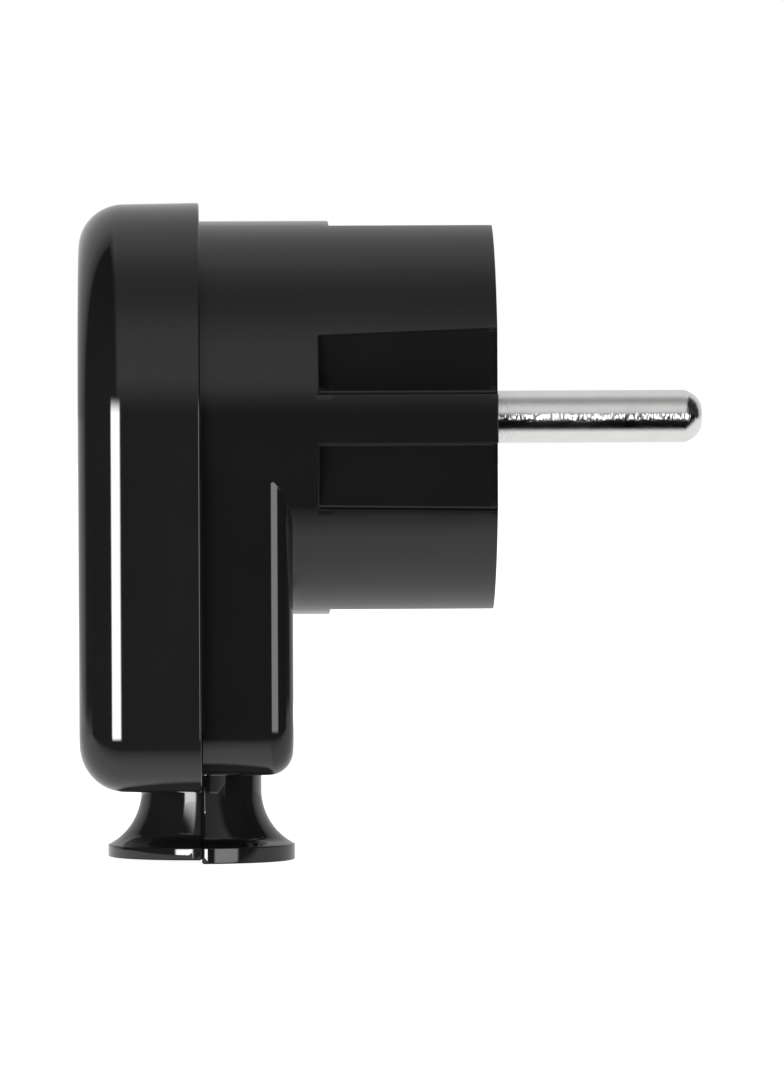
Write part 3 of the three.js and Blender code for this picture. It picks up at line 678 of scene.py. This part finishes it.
def screw(name, side, head_r, head_h, dome, length, seat, y, z, pitch=0.5):
    """Pan-head screw with a cross recess and a rolled thread on its shank."""
    facets = 32
    rings = []

    def add(x, radius_at):
        ring = []
        for i in range(facets):
            a = 2 * math.pi * i / facets
            r = radius_at(a)
            ring.append((seat + side * x, y + r * math.cos(a), z + r * math.sin(a)))
        rings.append(ring)

    add(-length, lambda a: 0.9)
    step = pitch / 6
    count = int((length - 1.2) / step)
    for i in range(count + 1):
        x = -length + 0.3 + i * step
        fade = min(1.0, i / 6, (count - i) / 3)

        def thread(a, x=x, fade=fade):
            phase = (x / pitch - side * a / (2 * math.pi)) % 1.0
            return 1.5 - 0.26 * abs(2 * phase - 1) * fade - 0.3 * (1 - min(1.0, i / 6))

        add(x, thread)
    add(-0.75, lambda a: 1.5)
    add(-0.05, lambda a: 1.5)
    add(0, lambda a: head_r - 0.15)
    add(0.12, lambda a: head_r)
    for i in range(9):
        t = math.radians(90 * i / 8)
        add(head_h - dome * (1 - math.sin(t)), lambda a, t=t: head_r - dome * 1.6 * (1 - math.cos(t)))
    obj = loft(name, rings)
    top = seat + side * head_h
    cuts = []
    for dy, dz in ((0.4, 1.7), (1.7, 0.4)):
        ends = sorted((top - side * 1.2, top + side * 1))
        cuts.append(block((ends[0], y - dy, z - dz), (ends[1], y + dy, z + dz)))
    combine(obj, cuts, "DIFFERENCE")
    return finish_surface(obj, STEEL, angle=40)


def ring_washer(name, x0, x1, outer, bore, y, z, material):
    c = 0.08
    profile = [(x0, bore), (x0, outer - c), (x0 + c, outer), (x1 - c, outer), (x1, outer - c), (x1, bore)]
    return finish_surface(turned_x(name, profile, y, z, 48, closed=True), material)


def square_piece(name, x0, x1, half_y, half_z, bore, y, z, material):
    """Square plate along X with a round hole, edges eased."""
    plate = block((x0, y - half_y, z - half_z), (x1, y + half_y, z + half_z))
    plate.name = plate.data.name = name
    bm = bmesh.new()
    bm.from_mesh(plate.data)
    bmesh.ops.bevel(bm, geom=bm.edges[:], offset=0.18 * MM, segments=3, affect="EDGES", profile=0.5)
    bm.to_mesh(plate.data)
    bm.free()
    combine(plate, [rod(x0 - 1, x1 + 1, bore, y, z)], "DIFFERENCE")
    return finish_surface(plate, material)


def eased_block(low, high, offset=0.15):
    obj = block(low, high)
    bm = bmesh.new()
    bm.from_mesh(obj.data)
    bmesh.ops.bevel(bm, geom=bm.edges[:], offset=offset * MM, segments=2, affect="EDGES", profile=0.5)
    bm.to_mesh(obj.data)
    bm.free()
    return obj


def terminal_plate(name, side):
    y = side * PIN_Y
    channel = eased_block((-24.85, y - 4, -4.5), (-20.55, y + 4, 4.5), 0.25)
    channel.name = channel.data.name = name
    hollow = block((-26, y - 3.1, -6), (-21.45, y + 3.1, 6))
    combine(channel, [hollow, rod(-22, -20, 1.6, y, 0)], "DIFFERENCE")
    return finish_surface(channel, BRASS)


def strap_outline():
    path = [(-1.2, 16.4)] + arc(-20.15, 15.2, 1.2, 90, 180, 8) + arc(-20.15, -15.2, 1.2, 180, 270, 8)
    path += [(-1.2, -16.4), (-1.2, -15.6)] + arc(-20.15, -15.2, 0.4, 270, 180, 6)
    return path + arc(-20.15, 15.2, 0.4, 180, 90, 6) + [(-1.2, 15.6)]


def earth_strap():
    """Bent strip with eased edges, a tapped collar and the clearance holes through its web."""
    path = strap_outline()
    rings = []
    for y, inset in ((-3.2, 0.1), (-3.1, 0.0), (3.1, 0.0), (3.2, 0.1)):
        ring = []
        for i, (x, z) in enumerate(path):
            xa, za = path[i - 1]
            xb, zb = path[(i + 1) % len(path)]
            tx, tz = xb - xa, zb - za
            size = math.hypot(tx, tz)
            ring.append((x - inset * tz / size, y, z + inset * tx / size))
        rings.append(ring)
    strap = loft("earth_strap_strip", rings)
    combine(strap, [rod(-20.9, -17.65, 2.6, 0, EARTH_Z)], "UNION")
    holes = [rod(-23, -16, 1.6, 0, EARTH_Z), rod(-23, -16, 1.8, *FACE_SCREW), rod(-23, -16, 1.6, 0, SOCKET_Z)]
    combine(strap, holes, "DIFFERENCE")
    return finish_surface(strap, PLATING)


def earth_socket():
    profile = [
        (-22.3, 1.9), (-22.0, 2.4), (-21.45, 2.4), (-21.45, 1.5), (-16.75, 1.5), (-16.75, 2.8),
        (-16.55, 3.0), (-2.0, 3.0), (-1.75, 2.95), (-1.6, 2.8), (-1.65, 2.6), (-2.2, 2.5), (-15.4, 2.5),
    ]
    tube = turned_x("earth_socket_tube", profile, 0, SOCKET_Z, 64)
    slots = [block((-10.6, -0.35, 5), (0, 0.35, 15))]
    slots.append(block((-10.6, -5, SOCKET_Z - 0.35), (0, 5, SOCKET_Z + 0.35)))
    combine(tube, slots, "DIFFERENCE")
    return finish_surface(tube, BRASS)


def carrier_insert():
    disc = turned_x("carrier_insert", [(-20.5, 15.5), (-20.2, 15.8), (-17.2, 15.8), (-16.9, 15.5)], 0, 0, 144)
    walls = [eased_block((-25.5, s * 4.6 - 0.45, -8), (-19.5, s * 4.6 + 0.45, 8), 0.2) for s in SIDES]
    combine(disc, walls, "UNION")
    cuts = [rod(-22, -16, 1.8, *FACE_SCREW), rod(-22, -16, 2.85, 0, EARTH_Z), rod(-22, -16, 1.6, 0, SOCKET_Z)]
    cuts += [rod(-22, -16, 2.55, s * PIN_Y) for s in SIDES]
    for side in SIDES:
        low, high = sorted((side * 15.05, side * 17))
        cuts.append(block((-22, -3.45, low), (-16, 3.45, high)))
    combine(disc, cuts, "DIFFERENCE")
    return finish_surface(disc, CARRIER)


def clamp_bar():
    bar = eased_block((-33.6, -12, -21.9), (-31.4, 12, -16.5), 0.5)
    bar.name = bar.data.name = "clamp_bar"
    teeth = [eased_block((-32.5, -4.6, z - 0.5), (-30.8, 4.6, z + 0.5), 0.15) for z in (-20.7, -17.7)]
    combine(bar, teeth, "UNION")
    combine(bar, [rod(-35, -30, 1.65, s * CLAMP_SCREW[0], CLAMP_SCREW[1]) for s in SIDES], "DIFFERENCE")
    return finish_surface(bar, CLAMP)


def place(obj, node, body, material_slot):
    """The piece stands for a CAD node and moves with that node's body."""
    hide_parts(node)
    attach(obj, body)


place(front_shell(), "front_body", "plug_body", "shell")
place(rear_shell(), "rear_cover", "cover", "shell")
place(carrier_insert(), "contact_carrier", "plug_body", "carrier")
place(earth_strap(), "earth_strap", "plug_body", "terminal")
place(earth_socket(), "earth_pin_socket", "plug_body", "terminal")
place(clamp_bar(), "cord_clamp_bar", "cord_clamp_bar_body", "clamp")
place(square_piece("earth_washer_plate", -22.45, -21.45, 2.9, 2.9, 1.65, 0, EARTH_Z, STEEL),
      "earth_clamp_washer", "earth_clamp_washer_body", "fastener")
place(screw("earth_screw", -1, 2.75, 2.0, 0.6, 4.6, -22.5, 0, EARTH_Z),
      "earth_terminal_screw", "earth_terminal_screw_body", "fastener")
for side, tag in ((-1, "a"), (1, "b")):
    y = side * PIN_Y
    place(power_pin("pin_" + tag, side), "power_pin_" + tag, "plug_body", "pin")
    place(terminal_plate("channel_" + tag, side), "terminal_plate_" + tag, "plug_body", "terminal")
    place(square_piece("wire_washer_" + tag, -22.55, -21.55, 2.9, 2.9, 1.65, y, 0, STEEL),
          "clamp_washer_" + tag, "clamp_washer_" + tag + "_body", "fastener")
    place(screw("wire_screw_" + tag, -1, 2.75, 2.0, 0.6, 6.6, -22.6, y, 0),
          "terminal_screw_" + tag, "terminal_screw_" + tag + "_body", "fastener")
    clamp_y, clamp_z = side * CLAMP_SCREW[0], CLAMP_SCREW[1]
    place(screw("clamp_screw_" + tag, -1, 2.6, 1.6, 0.5, 10.4, -33.65, clamp_y, clamp_z, 1.34),
          "cord_clamp_screw_" + tag, "cord_clamp_screw_" + tag + "_body", "fastener")
for tag, seat, length, nut, y, z in (
    ("face", -4.0, 30.0, -30.2, *FACE_SCREW),
    ("leg_a", -21.8, 10.0, -28.6, -LEG_SCREW[0], LEG_SCREW[1]),
    ("leg_b", -21.8, 10.0, -28.6, LEG_SCREW[0], LEG_SCREW[1]),
):
    place(screw("shell_screw_" + tag, 1, 2.9, 2.2, 0.7, length, seat + 0.6, y, z),
          "housing_screw_" + tag, "housing_screw_" + tag + "_body", "fastener")
    place(ring_washer("shell_washer_" + tag, seat + 0.05, seat + 0.55, 2.95, 1.65, y, z, STEEL),
          "housing_washer_" + tag, "housing_washer_" + tag + "_body", "fastener")
    place(square_piece("shell_nut_" + tag, nut - 2.4, nut, 2.75, 2.75, 1.65, y, z, STEEL),
          "housing_nut_" + tag, "cover", "fastener")


# ---------- stage, light and camera ----------

# Wide soft panels round the vertical plane through the camera: level, then the degrees over which
# each fades in and out. 0 is towards the camera, 90 up, 180 behind and -90 down.
PANELS = [
    (0.65, (0, 25), (35, 95)),
    (0.65, (60, 110), (170, 215)),
    (0.80, (-200, -190), (-140, -80)),
]

# Softboxes: radiance, then the soft left, right, lower and upper edges, in degrees from the camera.
SOFTBOXES = [
    (26.0, (-33, -29.5), (-12, -8.5), (-15, -6), (1.5, 11.5)),
    (4.3, (13.5, 17), (42, 46), (-16, -6), (3, 12)),
]


def floor():
    """Pale floor under the plug, clear when looked at from underneath."""
    mat, tree, shader = node_material("pale_floor", (0.9, 0.9, 0.9), 0.6)
    shader.inputs["Emission Color"].default_value = (1, 1, 1, 1)
    shader.inputs["Emission Strength"].default_value = 0.96
    grain = noise(tree, object_coords(tree, (40, 40, 40)), 1.0, 2)
    tone = ramp(tree, grain, [(0.2, (0.88, 0.88, 0.88)), (0.8, (0.9, 0.9, 0.9))])
    tree.links.new(tone, shader.inputs["Base Color"])
    geometry = tree.nodes.new("ShaderNodeNewGeometry")
    clear = tree.nodes.new("ShaderNodeBsdfTransparent")
    mix = tree.nodes.new("ShaderNodeMixShader")
    tree.links.new(geometry.outputs["Backfacing"], mix.inputs["Fac"])
    tree.links.new(shader.outputs["BSDF"], mix.inputs[1])
    tree.links.new(clear.outputs["BSDF"], mix.inputs[2])
    tree.links.new(mix.outputs["Shader"], tree.nodes["Material Output"].inputs["Surface"])
    base = CAD_BOX[0][2]
    mesh = bpy.data.meshes.new("floor")
    mesh.from_pydata([(-6, -6, base), (6, -6, base), (6, 6, base), (-6, 6, base)], [], [(0, 1, 2, 3)])
    obj = link("floor", mesh)
    obj.data.materials.append(mat)
    obj.visible_glossy = False


def reflector():
    """Bright card under the plug that only shows in its gloss; it ends a little in front of the plug. A dark
    oval round the mouth's axis on it is painted shade under the mouth, seen in the gloss.
    """
    mat = bpy.data.materials.new("reflector_card")
    mat.use_nodes = True
    tree = mat.node_tree
    tree.nodes.clear()
    coords = tree.nodes.new("ShaderNodeTexCoord")
    split = tree.nodes.new("ShaderNodeSeparateXYZ")
    tree.links.new(coords.outputs["Object"], split.inputs["Vector"])
    front_edge = remap(tree, split.outputs["Y"], -0.044, -0.024, 0.0, 0.8)
    # Painted shade: inside an oval round the mouth's axis (9.4 mm along X, 15 mm along Y) the card dims to
    # 0.06. Outside it, left of the barrel, the card glows at 1.3.
    mouth_shade_distance = tree.nodes.new("ShaderNodeVectorMath")
    mouth_shade_distance.operation = "DISTANCE"
    mouth_shade_distance.inputs[1].default_value = (PARTING / 9.4, 0, 0)
    tree.links.new(object_coords(tree, (1000 / 9.4, 1000 / 15, 0)), mouth_shade_distance.inputs[0])
    painted_mouth_shade = remap(tree, mouth_shade_distance.outputs["Value"], 0.93, 1.07, 0.06, 1.3)
    right = remap(tree, split.outputs["X"], -0.0190, -0.0175, 0.0, 1.0)
    shade = calc(tree, "ADD", right, calc(tree, "MULTIPLY", painted_mouth_shade, calc(tree, "SUBTRACT", 1.0, right)))
    glow = tree.nodes.new("ShaderNodeEmission")
    output = tree.nodes.new("ShaderNodeOutputMaterial")
    glow.inputs["Color"].default_value = (1, 1, 1, 1)
    tree.links.new(calc(tree, "MULTIPLY", front_edge, shade), glow.inputs["Strength"])
    tree.links.new(glow.outputs["Emission"], output.inputs["Surface"])
    low = CAD_BOX[0][2] / MM - 1.2
    ring = [(-44, low - 1.9), (-8, low), (900, low), (900, low - 3), (-44, low - 3)]
    obj = loft("reflector", [[(x, y, z) for y, z in ring] for x in (-400, 400)])
    obj.data.materials.append(mat)
    obj.visible_camera = False
    obj.visible_diffuse = False
    obj.visible_shadow = False


def studio_world():
    """White room seen by the camera; reflections see wide soft panels, two softboxes and a dark front."""
    world = bpy.data.worlds.new("studio")
    bpy.context.scene.world = world
    world.use_nodes = True
    tree = world.node_tree
    tree.nodes.clear()
    coords = tree.nodes.new("ShaderNodeTexCoord")
    split = tree.nodes.new("ShaderNodeSeparateXYZ")
    tree.links.new(coords.outputs["Generated"], split.inputs["Vector"])
    across, along, up = (split.outputs[axis] for axis in "XYZ")

    def soft_step(value, low, high):
        node = tree.nodes.new("ShaderNodeMapRange")
        node.interpolation_type = "SMOOTHSTEP"
        node.inputs["From Min"].default_value = low
        node.inputs["From Max"].default_value = high
        tree.links.new(value, node.inputs["Value"])
        return node.outputs["Result"]

    def window(value, rise, fall):
        """1 between the two soft edges, each given as its start and end."""
        falling = calc(tree, "SUBTRACT", 1.0, soft_step(value, *fall))
        return calc(tree, "MULTIPLY", soft_step(value, *rise), falling)

    def greys(value, stops):
        return ramp(tree, value, [(place, (v, v, v)) for place, v in stops])

    toward = calc(tree, "MULTIPLY", along, -1.0)
    turn = calc(tree, "MULTIPLY", calc(tree, "ARCTAN2", up, toward), 180 / math.pi)
    band = 0.0
    for level, rise, fall in PANELS:
        band = calc(tree, "ADD", band, calc(tree, "MULTIPLY", window(turn, rise, fall), level))
    half_across = calc(tree, "ADD", calc(tree, "MULTIPLY", across, 0.5), 0.5)
    half_along = calc(tree, "ADD", calc(tree, "MULTIPLY", along, 0.5), 0.5)
    sides = greys(half_across, [(0.33, 0.04), (0.39, 1.0), (0.74, 1.0), (0.80, 0.06)])
    behind = greys(half_along, [(0.665, 0.0), (0.70, 0.5), (0.80, 0.95), (1.0, 1.0)])
    room = calc(tree, "MULTIPLY", band, calc(tree, "MAXIMUM", sides, behind))
    azimuth = calc(tree, "MULTIPLY", calc(tree, "ARCTAN2", across, toward), 180 / math.pi)
    height = calc(tree, "MULTIPLY", calc(tree, "ARCSINE", up), 180 / math.pi)
    for radiance, rise, fall, bottom, top in SOFTBOXES:
        box = calc(tree, "MULTIPLY", window(azimuth, rise, fall), window(height, bottom, top))
        room = calc(tree, "ADD", room, calc(tree, "MULTIPLY", box, radiance))
    path = tree.nodes.new("ShaderNodeLightPath")
    seen = path.outputs["Is Camera Ray"]
    hidden = calc(tree, "MULTIPLY", room, calc(tree, "SUBTRACT", 1.0, seen))
    background = tree.nodes.new("ShaderNodeBackground")
    output = tree.nodes.new("ShaderNodeOutputWorld")
    background.inputs["Color"].default_value = (1, 1, 1, 1)
    tree.links.new(calc(tree, "ADD", hidden, seen), background.inputs["Strength"])
    tree.links.new(background.outputs["Background"], output.inputs["Surface"])


def camera():
    distance, view_height = 757.0, 99.163
    data = bpy.data.cameras.new("camera")
    data.sensor_fit = "VERTICAL"
    data.sensor_height = 36
    data.lens = data.sensor_height * distance / view_height
    data.clip_end = 100
    obj = bpy.data.objects.new("camera", data)
    bpy.context.scene.collection.objects.link(obj)
    obj.location = Vector((-29.5, -distance, 0.3)) * MM
    target = Vector((-9.25, 0, -10.77)) * MM
    aim = (target - obj.location).to_track_quat("-Z", "Y")
    obj.rotation_euler = aim.to_euler()
    obj.rotation_euler.rotate_axis("Z", math.radians(-0.26))
    bpy.context.scene.camera = obj


floor()
reflector()
studio_world()
camera()
bpy.context.scene.view_settings.view_transform = "Standard"
